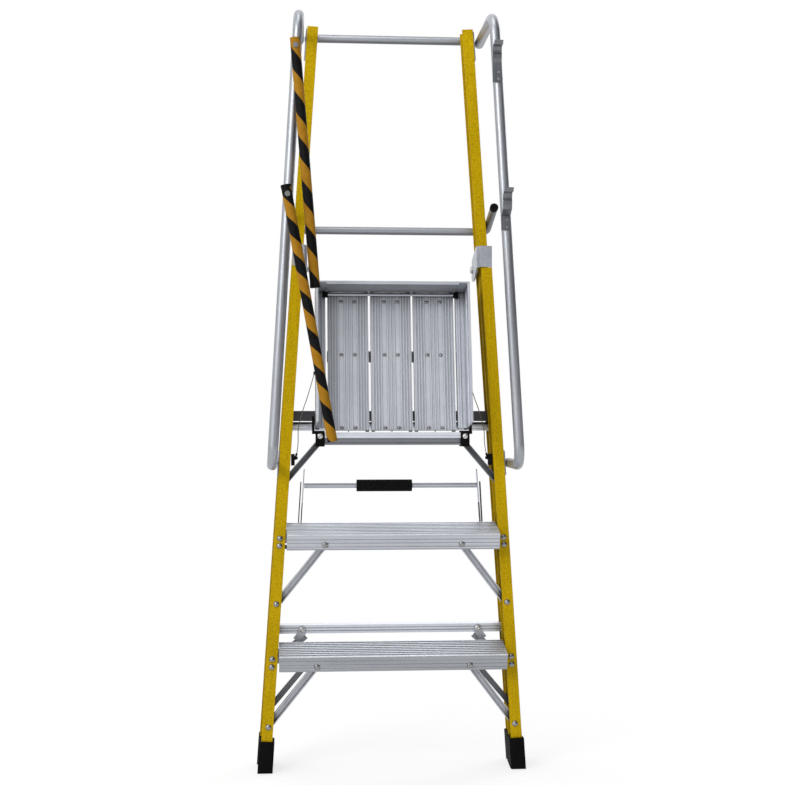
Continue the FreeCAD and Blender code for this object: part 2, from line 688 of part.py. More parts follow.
# the origin is the bottom centre of the whole folded ladder
ORIGIN_Y = 90.75
for o in nodes:
    o.Placement = FreeCAD.Placement(V(0, ORIGIN_Y, 0), FreeCAD.Rotation()).multiply(o.Placement)
doc.recompute()
bb = FreeCAD.BoundBox()
for o in nodes:
    bb.add(o.Shape.BoundBox)
print("box", bb.XMin, bb.XMax, bb.YMin, bb.YMax, bb.ZMin, bb.ZMax)
bad = []
for o in doc.Objects:
    if any(k in o.State for k in ("Invalid", "Error")):
        bad.append(o.Name)
for o in nodes:
    if o.Shape.isNull() or not o.Shape.isValid():
        bad.append(o.Label + " shape")
if bad:
    raise RuntimeError("bad objects: " + ", ".join(bad))
for o in nodes:
    o.Shape.exportStep("parts/" + o.Label + ".step")
print("nodes", len(nodes))
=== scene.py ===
import bpy
import bmesh
import math
from mathutils import Vector, Matrix


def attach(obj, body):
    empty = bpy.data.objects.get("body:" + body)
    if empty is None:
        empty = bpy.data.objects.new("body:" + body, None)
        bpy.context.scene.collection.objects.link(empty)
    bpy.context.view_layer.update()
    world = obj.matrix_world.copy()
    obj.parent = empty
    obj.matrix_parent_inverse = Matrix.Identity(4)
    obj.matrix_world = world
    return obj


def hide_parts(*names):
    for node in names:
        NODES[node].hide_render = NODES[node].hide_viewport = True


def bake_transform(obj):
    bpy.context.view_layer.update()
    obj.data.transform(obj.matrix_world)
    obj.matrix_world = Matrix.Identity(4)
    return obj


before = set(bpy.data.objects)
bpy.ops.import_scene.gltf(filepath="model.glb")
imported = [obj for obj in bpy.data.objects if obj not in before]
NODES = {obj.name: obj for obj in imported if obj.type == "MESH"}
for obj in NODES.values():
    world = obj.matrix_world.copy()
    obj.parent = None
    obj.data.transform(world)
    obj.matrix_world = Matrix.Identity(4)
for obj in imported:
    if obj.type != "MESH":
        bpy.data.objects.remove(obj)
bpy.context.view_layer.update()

DY = 0.09075


# ---------------------------------------------------------------- node helpers
def new_mat(name):
    m = bpy.data.materials.new(name)
    m.use_nodes = True
    nt = m.node_tree
    b = nt.nodes.get("Principled BSDF")
    return m, nt, b


def node(nt, kind, **kw):
    n = nt.nodes.new(kind)
    for k, v in kw.items():
        if k.startswith("in_"):
            n.inputs[k[3:].replace("_", " ")].default_value = v
        else:
            setattr(n, k, v)
    return n


def coords(nt, scale=(1, 1, 1), rot=(0, 0, 0)):
    tc = node(nt, "ShaderNodeTexCoord")
    mp = node(nt, "ShaderNodeMapping")
    mp.inputs["Scale"].default_value = scale
    mp.inputs["Rotation"].default_value = rot
    nt.links.new(tc.outputs["Object"], mp.inputs["Vector"])
    return mp.outputs["Vector"]


def noise(nt, vec, scale, detail=4, rough=0.55):
    n = node(nt, "ShaderNodeTexNoise")
    n.inputs["Scale"].default_value = scale
    n.inputs["Detail"].default_value = detail
    n.inputs["Roughness"].default_value = rough
    nt.links.new(vec, n.inputs["Vector"])
    return n.outputs["Fac"]


def ramp(nt, fac, stops):
    r = node(nt, "ShaderNodeValToRGB")
    e = r.color_ramp.elements
    while len(e) < len(stops):
        e.new(0.5)
    for i, (p, c) in enumerate(stops):
        e[i].position = p
        e[i].color = (c[0], c[1], c[2], 1) if not isinstance(c, float) else (c, c, c, 1)
    nt.links.new(fac, r.inputs["Fac"])
    return r.outputs["Color"]


def math_n(nt, op, a, b=None):
    n = node(nt, "ShaderNodeMath", operation=op)
    for i, v in enumerate((a, b)):
        if v is None:
            continue
        if isinstance(v, (int, float)):
            n.inputs[i].default_value = v
        else:
            nt.links.new(v, n.inputs[i])
    return n.outputs[0]


def mix(nt, fac, a, b, blend="MIX"):
    n = node(nt, "ShaderNodeMix", data_type="RGBA", blend_type=blend)
    for sock, v in ((n.inputs[0], fac), (n.inputs[6], a), (n.inputs[7], b)):
        if isinstance(v, (int, float)):
            sock.default_value = v
        elif isinstance(v, tuple):
            sock.default_value = (v[0], v[1], v[2], 1)
        else:
            nt.links.new(v, sock)
    return n.outputs[2]


def bump(nt, b, h, strength, dist=0.001):
    n = node(nt, "ShaderNodeBump")
    n.inputs["Strength"].default_value = strength
    n.inputs["Distance"].default_value = dist
    nt.links.new(h, n.inputs["Height"])
    bv = node(nt, "ShaderNodeBevel", samples=4)
    bv.inputs["Radius"].default_value = 0.0009
    nt.links.new(bv.outputs["Normal"], n.inputs["Normal"])
    nt.links.new(n.outputs["Normal"], b.inputs["Normal"])


def painted_cavity_shade(nt, col, dist, dark, lo=0.25, hi=0.85):
    """Painted shade: darken a colour in grooves and recesses by ambient occlusion."""
    ao = node(nt, "ShaderNodeAmbientOcclusion", samples=6)
    ao.inputs["Distance"].default_value = dist
    k = ramp(nt, ao.outputs["AO"], [(lo, (dark, dark, dark)), (hi, (1.0, 1.0, 1.0))])
    return mix(nt, 1.0, col, k, "MULTIPLY")


def edge_wear(nt):
    """Bright or dark edges from the mesh's own curvature."""
    g = node(nt, "ShaderNodeNewGeometry")
    return ramp(nt, g.outputs["Pointiness"], [(0.48, 0.0), (0.56, 1.0)])


# ------------------------------------------------------------------ materials
def painted_facing_light(nt, col, up, down, front):
    """Painted light and shade: multiply a colour by which way the piece's own surface faces: up, down or to the
    front.
    """
    sep = node(nt, "ShaderNodeSeparateXYZ")
    nt.links.new(node(nt, "ShaderNodeTexCoord").outputs["Normal"], sep.inputs[0])
    k = ramp(nt, math_n(nt, "ADD", math_n(nt, "MULTIPLY", sep.outputs["Z"], 0.5), 0.5),
             [(0.1, (down, down, down)), (0.4, (front, front, front)), (0.6, (front, front, front)), (0.9, (up, up, up))])
    return mix(nt, 1.0, col, k, "MULTIPLY")


def aluminium(name, axis, base=0.60, rough=0.34, metal=0.92, lines_k=1.0, fine=0.42, fine_d=0.006, face=None, shade_band=None):
    """Extruded aluminium with die lines along the given axis, with painted shade in grooves and recesses and
    optional painted light and shade by which way surfaces face and below a given height.
    """
    m, nt, b = new_mat(name)
    s = {"x": (1.2, 260, 260), "z": (260, 260, 1.2), "y": (260, 1.2, 260)}[axis]
    lines = noise(nt, coords(nt, s), 1.0, 3, 0.6)
    s2 = {"x": (2, 30, 30), "z": (30, 30, 2), "y": (30, 2, 30)}[axis]
    broad = noise(nt, coords(nt, s2), 1.0, 3, 0.5)
    cloud = noise(nt, coords(nt), 9.0, 5, 0.6)
    c1 = ramp(nt, lines, [(0.3, (base * 0.82, base * 0.85, base * 0.91)), (0.7, (base * 1.07, base * 1.11, base * 1.18))])
    c2 = ramp(nt, broad, [(0.3, (0.86, 0.86, 0.87)), (0.7, (1.0, 1.0, 1.0))])
    c3 = ramp(nt, cloud, [(0.25, (0.88, 0.88, 0.89)), (0.6, (1.0, 1.0, 1.0))])
    c1 = mix(nt, lines_k, (base * 0.95, base * 0.98, base * 1.05), c1)
    c = mix(nt, lines_k, c1, c2, "MULTIPLY")
    c = mix(nt, 0.7, c, c3, "MULTIPLY")
    # painted shade: fine sets how dark the groove shade goes and fine_d how far it reaches; the second call
    # shades larger recesses
    c = painted_cavity_shade(nt, c, fine_d, fine)
    c = painted_cavity_shade(nt, c, 0.07, 0.45, 0.15, 0.6)
    # painted light and shade by which way each surface faces (face gives the up, down and front multipliers)
    if face:
        c = painted_facing_light(nt, c, *face)
    # painted shade: below the given object-space height the colour is multiplied down
    if shade_band:
        sp = node(nt, "ShaderNodeSeparateXYZ")
        nt.links.new(coords(nt), sp.inputs[0])
        shaded_low = mix(nt, 1.0, c, (shade_band[1], shade_band[1], shade_band[1]), "MULTIPLY")
        c = mix(nt, math_n(nt, "GREATER_THAN", sp.outputs["Z"], shade_band[0]), shaded_low, c)
    nt.links.new(c, b.inputs["Base Color"])
    b.inputs["Metallic"].default_value = metal
    r = math_n(nt, "ADD", math_n(nt, "MULTIPLY", lines, 0.22), rough - 0.1)
    r = math_n(nt, "ADD", r, math_n(nt, "MULTIPLY", cloud, 0.10))
    nt.links.new(r, b.inputs["Roughness"])
    bump(nt, b, lines, 0.25, 0.0004)
    return m


def fibreglass():
    """Pultruded yellow fibreglass: faint rovings along the stile and a fine speckle."""
    m, nt, b = new_mat("fibreglass_yellow")
    spk = noise(nt, coords(nt), 330.0, 3, 0.75)
    rov = noise(nt, coords(nt, (220, 220, 5)), 1.0, 3, 0.6)
    cloud = noise(nt, coords(nt), 6.0, 4, 0.6)
    c = ramp(nt, spk, [(0.34, (0.33, 0.205, 0.0008)), (0.50, (0.50, 0.325, 0.001)), (0.70, (0.64, 0.44, 0.004))])
    c2 = ramp(nt, rov, [(0.3, (0.88, 0.88, 0.86)), (0.65, (1, 1, 1))])
    c3 = ramp(nt, cloud, [(0.3, (0.90, 0.90, 0.88)), (0.65, (1, 1, 1))])
    c = mix(nt, 1.0, c, c2, "MULTIPLY")
    c = mix(nt, 1.0, c, c3, "MULTIPLY")
    # painted shade in the stiles' channel interiors and corners
    c = painted_cavity_shade(nt, c, 0.05, 0.30, 0.15, 0.62)
    nt.links.new(c, b.inputs["Base Color"])
    r = math_n(nt, "ADD", math_n(nt, "MULTIPLY", spk, 0.18), 0.40)
    nt.links.new(r, b.inputs["Roughness"])
    b.inputs["Specular IOR Level"].default_value = 0.05
    h = math_n(nt, "ADD", spk, math_n(nt, "MULTIPLY", rov, 0.6))
    bump(nt, b, h, 0.28, 0.0005)
    return m


def plastic(name, col, rough, grain=900.0, strength=0.25, dust=0.06):
    m, nt, b = new_mat(name)
    g = noise(nt, coords(nt), grain, 3, 0.6)
    cl = noise(nt, coords(nt), 22.0, 5, 0.65)
    c = ramp(nt, cl, [(0.35, col), (0.85, tuple(x + dust for x in col))])
    nt.links.new(c, b.inputs["Base Color"])
    r = math_n(nt, "ADD", math_n(nt, "MULTIPLY", cl, 0.2), rough - 0.1)
    nt.links.new(r, b.inputs["Roughness"])
    b.inputs["Specular IOR Level"].default_value = 0.04
    bump(nt, b, g, strength, 0.0006)
    return m


def foam():
    m, nt, b = new_mat("foam_grip")
    v = node(nt, "ShaderNodeTexVoronoi")
    v.inputs["Scale"].default_value = 620.0
    nt.links.new(coords(nt), v.inputs["Vector"])
    g = noise(nt, coords(nt), 300.0, 4, 0.7)
    c = ramp(nt, g, [(0.3, (0.003, 0.003, 0.003)), (0.8, (0.010, 0.010, 0.011))])
    nt.links.new(c, b.inputs["Base Color"])
    b.inputs["Specular IOR Level"].default_value = 0.06
    b.inputs["Roughness"].default_value = 0.85
    h = math_n(nt, "ADD", v.outputs["Distance"], g)
    bump(nt, b, h, 0.6, 0.0008)
    return m


def hazard(name, p0, d, pitch=0.118, hand=1.0, phase=0.0):
    """Orange-yellow and black tape wound round a tube whose axis is p0 + k d."""
    m, nt, b = new_mat(name)
    d = Vector(d).normalized()
    n1 = Vector((0, 1, 0))
    n2 = d.cross(n1).normalized()
    tc = node(nt, "ShaderNodeTexCoord")
    sub = node(nt, "ShaderNodeVectorMath", operation="SUBTRACT")
    nt.links.new(tc.outputs["Object"], sub.inputs[0])
    sub.inputs[1].default_value = p0

    def dot(v):
        q = node(nt, "ShaderNodeVectorMath", operation="DOT_PRODUCT")
        nt.links.new(sub.outputs[0], q.inputs[0])
        q.inputs[1].default_value = v
        return q.outputs["Value"]
    ang = math_n(nt, "ARCTAN2", dot(n1), dot(n2))
    u = math_n(nt, "DIVIDE", dot(d), pitch)
    wob = noise(nt, coords(nt), 14.0, 2, 0.5)
    ph = math_n(nt, "ADD", u, math_n(nt, "MULTIPLY", ang, hand / (2 * math.pi)))
    ph = math_n(nt, "ADD", ph, math_n(nt, "MULTIPLY", wob, 0.05))
    ph = math_n(nt, "ADD", ph, phase + 40.0)
    fr = math_n(nt, "FRACT", ph)
    # tape overlap lines at the two colour changes
    step = ramp(nt, fr, [(0.0, 0.0), (0.002, 1.0), (0.498, 1.0), (0.502, 0.0)])
    g = noise(nt, coords(nt), 60.0, 5, 0.7)
    org = ramp(nt, g, [(0.3, (0.42, 0.195, 0.012)), (0.75, (0.58, 0.285, 0.022))])
    blk = ramp(nt, g, [(0.3, (0.003, 0.003, 0.003)), (0.85, (0.012, 0.012, 0.013))])
    seam = ramp(nt, fr, [(0.0, 0.35), (0.012, 1.0), (0.49, 1.0), (0.50, 0.5)])
    col = mix(nt, step, org, blk)
    col = mix(nt, 0.8, col, seam, "MULTIPLY")
    nt.links.new(col, b.inputs["Base Color"])
    r = math_n(nt, "ADD", math_n(nt, "MULTIPLY", g, 0.25), 0.40)
    nt.links.new(r, b.inputs["Roughness"])
    wr = noise(nt, coords(nt), 120.0, 3, 0.6)
    h = math_n(nt, "ADD", math_n(nt, "MULTIPLY", step, 0.8), math_n(nt, "MULTIPLY", wr, 0.4))
    b.inputs["Specular IOR Level"].default_value = 0.05
    bump(nt, b, h, 0.35, 0.0006)
    return m


def steel(name, base=0.55, rough=0.35):
    m, nt, b = new_mat(name)
    g = noise(nt, coords(nt), 240.0, 4, 0.6)
    c = ramp(nt, g, [(0.3, (base * 0.8, base * 0.8, base * 0.8)), (0.7, (base * 1.1, base * 1.1, base * 1.08))])
    nt.links.new(c, b.inputs["Base Color"])
    b.inputs["Metallic"].default_value = 1.0
    r = math_n(nt, "ADD", math_n(nt, "MULTIPLY", g, 0.25), rough - 0.1)
    nt.links.new(r, b.inputs["Roughness"])
    bump(nt, b, g, 0.2, 0.0004)
    return m


def rope():
    """Fine twisted steel wire."""
    m, nt, b = new_mat("wire_rope")
    w = node(nt, "ShaderNodeTexWave", wave_type="BANDS")
    w.inputs["Scale"].default_value = 170.0
    w.inputs["Distortion"].default_value = 1.0
    nt.links.new(coords(nt, (1, 1, 1), (0.6, 0.5, 0)), w.inputs["Vector"])
    c = ramp(nt, w.outputs["Fac"], [(0.2, (0.10, 0.085, 0.07)), (0.8, (0.42, 0.38, 0.33))])
    nt.links.new(c, b.inputs["Base Color"])
    b.inputs["Metallic"].default_value = 0.8
    b.inputs["Roughness"].default_value = 0.42
    bump(nt, b, w.outputs["Fac"], 0.6, 0.0005)
    return m


AL_X = aluminium("aluminium_x", "x", 0.58, 0.33, 0.95)
# painted light: tread tops brightened and their fronts and undersides darkened; rail tops and undersides
# darkened
AL_TREAD = aluminium("aluminium_tread", "x", 0.70, 0.36, 0.93, 0.9, 0.38, 0.006, (1.32, 0.6, 0.84))
AL_TREAD_L = aluminium("aluminium_tread_lower", "x", 0.68, 0.36, 0.93, 0.9, 0.38, 0.006, (1.34, 0.6, 0.57))
AL_RAIL = aluminium("aluminium_rail", "x", 0.46, 0.38, 0.95, 0.6, 0.42, 0.006, (0.55, 0.4, 1.0))
AL_TOE = aluminium("aluminium_toe_board", "x", 0.60, 0.42, 0.93, 0.8, 0.30, 0.005)
# painted light and shade: bright base for the beam's lit top, darkened below z 0.8275 where its recess is in
# shade
AL_BEAM = aluminium("aluminium_beam", "x", 0.86, 0.36, 0.93, 0.8, 0.40, 0.005, None, (0.8275, 0.34))
# painted shade: the rest channel is a near-black copy of the aluminium
AL_CHAN = aluminium("aluminium_channel", "x", 0.12, 0.46, 0.93, 0.8, 0.30, 0.02)
AL_BAR = aluminium("aluminium_crossbar", "x", 0.80, 0.34, 0.95)
# painted shade: rear braces, deck struts and hooks are darkened copies of the aluminium
AL_BACK = aluminium("aluminium_rear_brace", "z", 0.20, 0.42, 0.95)
AL_STRUT = aluminium("aluminium_strut", "z", 0.22, 0.42, 0.95)
AL_HOOK = aluminium("aluminium_hook", "z", 0.20, 0.32, 0.95)
AL_Z = aluminium("aluminium_z", "z", 0.60)
AL_TUBE = aluminium("aluminium_tube", "z", 0.42, 0.36, 0.95)
AL_DARK = aluminium("aluminium_brace", "z", 0.55, 0.36, 0.95)
AL_DECK = aluminium("aluminium_deck", "z", 0.67, 0.44, 0.9, 0.35, 0.16, 0.006)
AL_Y = aluminium("aluminium_plate", "y", 0.54, 0.38, 0.95)
RIVET = steel("rivet_steel", 0.30, 0.30)
FRP = fibreglass()
BLACK = plastic("black_plastic", (0.004, 0.004, 0.004), 0.46, 900.0, 0.25, 0.006)
STRAP = plastic("strap_grey", (0.42, 0.43, 0.45), 0.5, 400.0, 0.2, 0.08)
RUBBER = plastic("boot_rubber", (0.0028, 0.0028, 0.0029), 0.66, 500.0, 0.4, 0.004)
FOAM = foam()
STEEL = steel("zinc_steel")
STEEL_B = steel("bright_bolt", 0.7, 0.25)
WIRE = rope()


def shaded_lower_end(name, z_split):
    """Spreader links: plain aluminium upper end and a near-black lower end below z_split that is painted shade.
    """
    m, nt, b = new_mat(name)
    sep = node(nt, "ShaderNodeSeparateXYZ")
    nt.links.new(coords(nt), sep.inputs[0])
    g = noise(nt, coords(nt), 160.0, 4, 0.6)
    k = math_n(nt, "GREATER_THAN", sep.outputs["Z"], z_split)
    up = ramp(nt, g, [(0.3, (0.52, 0.56, 0.62)), (0.7, (0.66, 0.70, 0.76))])
    dn = ramp(nt, g, [(0.3, (0.012, 0.012, 0.013)), (0.7, (0.035, 0.034, 0.034))])
    nt.links.new(mix(nt, k, dn, up), b.inputs["Base Color"])
    b.inputs["Metallic"].default_value = 0.85
    b.inputs["Roughness"].default_value = 0.38
    bump(nt, b, g, 0.2, 0.0004)
    return m


LINK = shaded_lower_end("link_two_tone", 0.664)
# painted shade: near-black steel for the rear links, which sit in shade
STEEL_SHADE = steel("steel_painted_shade", 0.06, 0.45)


def pv(x, y, z):
    return Vector((x / 1000.0, y / 1000.0 + DY, z / 1000.0))


UP0, UP1 = pv(-245.3, -225.5, 1765), pv(-198.4, -225.5, 1195)
LO0, LO1 = pv(-264.4, -252, 1406), pv(-157.5, -252, 822)
HAZ_U = hazard("hazard_tape_upper", UP0, UP1 - UP0, 0.106, -1.0, 0.54)
HAZ_L = hazard("hazard_tape_lower", LO0, LO1 - LO0, 0.0888, -1.0, 0.0)


def give(name, mat):
    o = NODES[name]
    if len(o.material_slots) == 0:
        o.data.materials.append(mat)
    for s in o.material_slots:
        s.material = mat


for n in NODES:
    if "stile" in n:
        give(n, FRP)
    elif "boot" in n:
        give(n, RUBBER)
    elif n == "handle_grip":
        give(n, FOAM)
    elif n.startswith("beam_corner") or "_cap" in n or n in ("wire_anchors", "deck_rod_blocks"):
        give(n, BLACK)
    elif n in ("front_frame_rivets", "deck_rivets", "gate_pivot_screws"):
        give(n, RIVET)
    elif n == "fold_pivot_bolts":
        give(n, STEEL)
    elif n == "upper_gate_bar":
        give(n, HAZ_U)
    elif n == "lower_gate_bar":
        give(n, HAZ_L)
    elif n.startswith("deck_plank") or n.startswith("deck_side"):
        give(n, AL_DECK)
    elif n.startswith("handrail_left") or n.startswith("handrail_right"):
        give(n, AL_TUBE)
    elif "deck_strut" in n:
        give(n, AL_STRUT)
    elif n == "lower_tread_rear_braces":
        give(n, AL_BACK)
    elif "brace" in n or "strut" in n:
        give(n, AL_DARK)
    elif n == "upper_tread":
        give(n, AL_TREAD)
    elif n == "lower_tread":
        give(n, AL_TREAD_L)
    elif n == "deck_toe_board":
        give(n, AL_TOE)
    elif n == "deck_front_beam":
        give(n, AL_BEAM)
    elif n == "deck_rest_channel":
        give(n, AL_CHAN)
    elif n in ("rear_crossbar", "deck_rest_tube"):
        give(n, AL_BAR)
    elif n in ("top_rail", "mid_rail"):
        give(n, AL_RAIL)
    elif n in ("handle_tube", "deck_rod"):
        give(n, AL_X)
    elif n.startswith("front_link"):
        give(n, LINK)
    elif n.startswith("rear_link"):
        give(n, STEEL_SHADE)
    elif n.startswith("gate_hook"):
        give(n, AL_HOOK)
    else:
        give(n, AL_Y)


# ---------------------------------------------------------------- mesh pieces
def mesh_obj(name, bm, mat, body, smooth=True):
    me = bpy.data.meshes.new(name)
    bm.normal_update()
    bm.to_mesh(me)
    bm.free()
    o = bpy.data.objects.new(name, me)
    bpy.context.scene.collection.objects.link(o)
    me.materials.append(mat)
    if smooth:
        for p in me.polygons:
            p.use_smooth = True
    if body:
        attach(o, body)
    return o


def frame_of(d):
    z = Vector(d).normalized()
    a = Vector((0, 0, 1)) if abs(z.z) < 0.9 else Vector((1, 0, 0))
    x = a.cross(z).normalized()
    y = z.cross(x)
    return Matrix((x, y, z)).transposed()


def lathe(bm, origin, d, prof, seg=24, hexa=0):
    """Solid of revolution about d from a list of (radius, height)."""
    M = frame_of(d)
    rings = []
    for r, h in prof:
        ring = []
        for i in range(seg):
            a = 2 * math.pi * i / seg
            rr = r
            ring.append(bm.verts.new(origin + M @ Vector((rr * math.cos(a), rr * math.sin(a), h))))
        rings.append(ring)
    for a, b in zip(rings, rings[1:]):
        for i in range(seg):
            j = (i + 1) % seg
            bm.faces.new((a[i], a[j], b[j], b[i]))
    bm.faces.new(list(reversed(rings[0])))
    bm.faces.new(rings[-1])


def bolt(bm, p, d, r=0.0052, h=0.0034, washer=True):
    """Button head bolt with a socket and a washer."""
    if washer:
        lathe(bm, p, d, [(r * 1.42, 0), (r * 1.42, 0.0009), (r * 1.30, 0.0012)], 28)
        p = p + Vector(d).normalized() * 0.0011
    lathe(bm, p, d, [(r, 0), (r, h * 0.35), (r * 0.9, h * 0.75), (r * 0.66, h), (r * 0.50, h),
                     (r * 0.48, h * 0.45), (r * 0.2, h * 0.42)], 24)


# bolts on the tread faces, on the deck beam corners and on the rear crossbar
bm = bmesh.new()
tn = Vector((0, -math.cos(math.radians(15.5)), -math.sin(math.radians(15.5))))


def tread_face(x, drop, zf):
    """Point on a tread's front face, drop mm below its front top edge."""
    a = math.radians(15.5)
    return pv(x, -110 + drop * math.sin(a), zf - drop * math.cos(a))


def dome_head(bm, p, d, r, h):
    prof = [(r * math.cos(t), h * math.sin(t)) for t in [i * math.pi / 2 / 8 for i in range(8)]]
    lathe(bm, p, d, prof + [(r * 0.05, h)], 28)


for s in (-1, 1):
    dome_head(bm, tread_face(s * 169, 26, 590.5), tn, 0.0075, 0.0045)
    dome_head(bm, tread_face(s * 189, 27, 292.5), tn, 0.0075, 0.0045)
mesh_obj("tread_bolts", bm, RIVET, "front_frame")
bm = bmesh.new()
for s in (-1, 1):
    bolt(bm, pv(s * 181, -75, 833), (0, -1, 0), 0.0046, 0.003)
mesh_obj("corner_bolts", bm, STEEL_B, "front_frame")

bm = bmesh.new()
for s in (-1, 1):
    bolt(bm, pv(s * 224, 12.4, 343.0), (0, -1, 0), 0.0052)
    bolt(bm, pv(s * 198, 79.3, 1859), (0, 1, 0), 0.0045)
mesh_obj("rear_bolts", bm, STEEL_B, "rear_frame")


def brace_tabs():
    bm = bmesh.new()
    for s in (-1, 1):
        arc = [(224 + 9.5 * math.cos(math.radians(a)), 343.0 + 9.5 * math.sin(math.radians(a))) for a in range(20, 215, 15)]
        out = arc + [(213.5, 333.0), (232.0, 312.0), (246.0, 322.0), (236.0, 335.0)]
        plate(bm, [pv(s * q[0], 12.4, q[1]) for q in out], (0, 1, 0), 0.0015)
    bmesh.ops.recalc_face_normals(bm, faces=bm.faces[:])
    mesh_obj("corner_brace_tabs", bm, AL_Y, "rear_frame", False)


def plate(bm, pts, nrm, th, bev=0.0):
    """Flat plate from its outline in 3D and a thickness along nrm."""
    nrm = Vector(nrm).normalized() * th
    a = [bm.verts.new(p) for p in pts]
    b = [bm.verts.new(p + nrm) for p in pts]
    n = len(pts)
    bm.faces.new(a)
    bm.faces.new(list(reversed(b)))
    for i in range(n):
        j = (i + 1) % n
        bm.faces.new((a[j], a[i], b[i], b[j]))


brace_tabs()

# angle brackets that join each tread's ends to the stiles' mouths
bm = bmesh.new()


def wf(z):
    return 251.0 + (1258.0 - z) * 0.0632


for zf in (590.5, 292.5):
    for s in (-1, 1):
        z0, z1 = zf - 24, zf + 8
        xi = wf(z0) - 31
        for yy in (-50.5,):
            plate(bm, [pv(s * (xi - 3), yy, z0), pv(s * (wf(z0) - 6), yy, z0), pv(s * (wf(z1) - 6), yy, z1),
                       pv(s * (xi - 3), yy, z1)], (0, 1, 0), 0.034)
bmesh.ops.recalc_face_normals(bm, faces=bm.faces[:])
mesh_obj("tread_end_brackets", bm, AL_Y, "front_frame", False)

# screws of the two gate hooks
bm = bmesh.new()
for zc in (1765, 1406):
    xx = 268.5 + (1307.0 - (zc - 57)) * 0.0572
    for dz in (-66, -49):
        bolt(bm, pv(xx, -195 - 12.5 - 2.2, zc + dz), (0, -1, 0), 0.0036, 0.0022, False)
mesh_obj("hook_screws", bm, RIVET, "right_handrail")


# ---------------------------------------------------------------- deck wires
def spline_points(pts, n):
    cu = bpy.data.curves.new("tmp", "CURVE")
    cu.dimensions = "3D"
    sp = cu.splines.new("NURBS")
    sp.points.add(len(pts) - 1)
    for p, q in zip(sp.points, pts):
        p.co = (q[0], q[1], q[2], 1)
    sp.order_u = 3
    sp.use_endpoint_u = True
    sp.resolution_u = n
    o = bpy.data.objects.new("tmp", cu)
    me = bpy.data.meshes.new_from_object(o)
    out = [v.co.copy() for v in me.vertices]
    bpy.data.objects.remove(o)
    bpy.data.curves.remove(cu)
    bpy.data.meshes.remove(me)
    return out


def tube_mesh(bm, pts, r, seg=10):
    prev = None
    up = Vector((1, 0, 0))
    for i, p in enumerate(pts):
        t = (pts[min(i + 1, len(pts) - 1)] - pts[max(i - 1, 0)]).normalized()
        x = up.cross(t).normalized()
        y = t.cross(x)
        ring = [bm.verts.new(p + (x * math.cos(2 * math.pi * k / seg) + y * math.sin(2 * math.pi * k / seg)) * r)
                for k in range(seg)]
        if prev:
            for k in range(seg):
                j = (k + 1) % seg
                bm.faces.new((prev[k], prev[j], ring[j], ring[k]))
        else:
            bm.faces.new(list(reversed(ring)))
        prev = ring
    bm.faces.new(prev)


for s, nm in ((-1, "left"), (1, "right")):
    route = [pv(s * 194.2, -9.5, 990), pv(s * 208, -14, 940), pv(s * 225, -19, 893), pv(s * 236, -27, 848),
             pv(s * 234, -34, 815), pv(s * 238.5, -39, 789)]
    pts = spline_points(route, 10)
    bm = bmesh.new()
    tube_mesh(bm, pts, 0.0011)
    o = mesh_obj("deck_wire_" + nm, bm, WIRE, None)
    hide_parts("deck_wires")
    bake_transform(o)

def dk(x, y, z):
    """Point given in the deck's own directions: y through the planks, z along them."""
    a = math.radians(-11.0)
    return pv(x, -30 + y * math.cos(a) - z * math.sin(a), 872 + y * math.sin(a) + z * math.cos(a))


# hat section strap across the planks' back, under the middle rivets
bm = bmesh.new()
sec = [(0.8, 150), (0.8, 156), (5.0, 158), (5.0, 171), (0.8, 173), (0.8, 179), (2.2, 179), (2.2, 174.4),
       (6.6, 172.4), (6.6, 156.6), (2.2, 154.6), (2.2, 150)]
ends = [[bm.verts.new(dk(x, q[0], q[1])) for q in sec] for x in (-162.0, 162.0)]
n = len(sec)
for i in range(n):
    j = (i + 1) % n
    bm.faces.new((ends[0][i], ends[0][j], ends[1][j], ends[1][i]))
bm.faces.new(ends[0])
bm.faces.new(list(reversed(ends[1])))
bmesh.ops.recalc_face_normals(bm, faces=bm.faces[:])
mesh_obj("deck_cross_strap", bm, STRAP, "deck", False)

# crimped eyes at the two ends of each wire
bm = bmesh.new()
for s in (-1, 1):
    lathe(bm, pv(s * 192.8, -9.3, 991), (s, 0, 0), [(0.0045, 0), (0.0045, 0.0022), (0.003, 0.0036), (0.001, 0.0038)], 20)
mesh_obj("wire_eyes_deck", bm, BLACK, "deck")
bm = bmesh.new()
for s in (-1, 1):
    lathe(bm, pv(s * 238.5, -39, 790), (s * 0.25, 0, -1), [(0.002, 0), (0.0026, 0.001), (0.0026, 0.012), (0.002, 0.013)], 16)
    plate(bm, [pv(s * 236, -41, 775), pv(s * 246, -41, 772), pv(s * 246, -41, 781), pv(s * 236, -41, 781)], (0, 1, 0), 0.003)
mesh_obj("wire_eyes_frame", bm, BLACK, "front_frame")

# ---------------------------------------------------------------- stage
cam_data = bpy.data.cameras.new("camera")
cam = bpy.data.objects.new("camera", cam_data)
bpy.context.scene.collection.objects.link(cam)
bpy.context.scene.camera = cam
cam_data.sensor_width = 36.0
cam_data.lens = 1500.0 / 785.0 * 36.0
yaw = math.radians(4.5)
cam.location = (-3.750 * math.sin(yaw), -0.058 - 3.750 * math.cos(yaw) + DY, 0.873)
cam.rotation_euler = (math.radians(90 + 1.05), 0, -yaw)

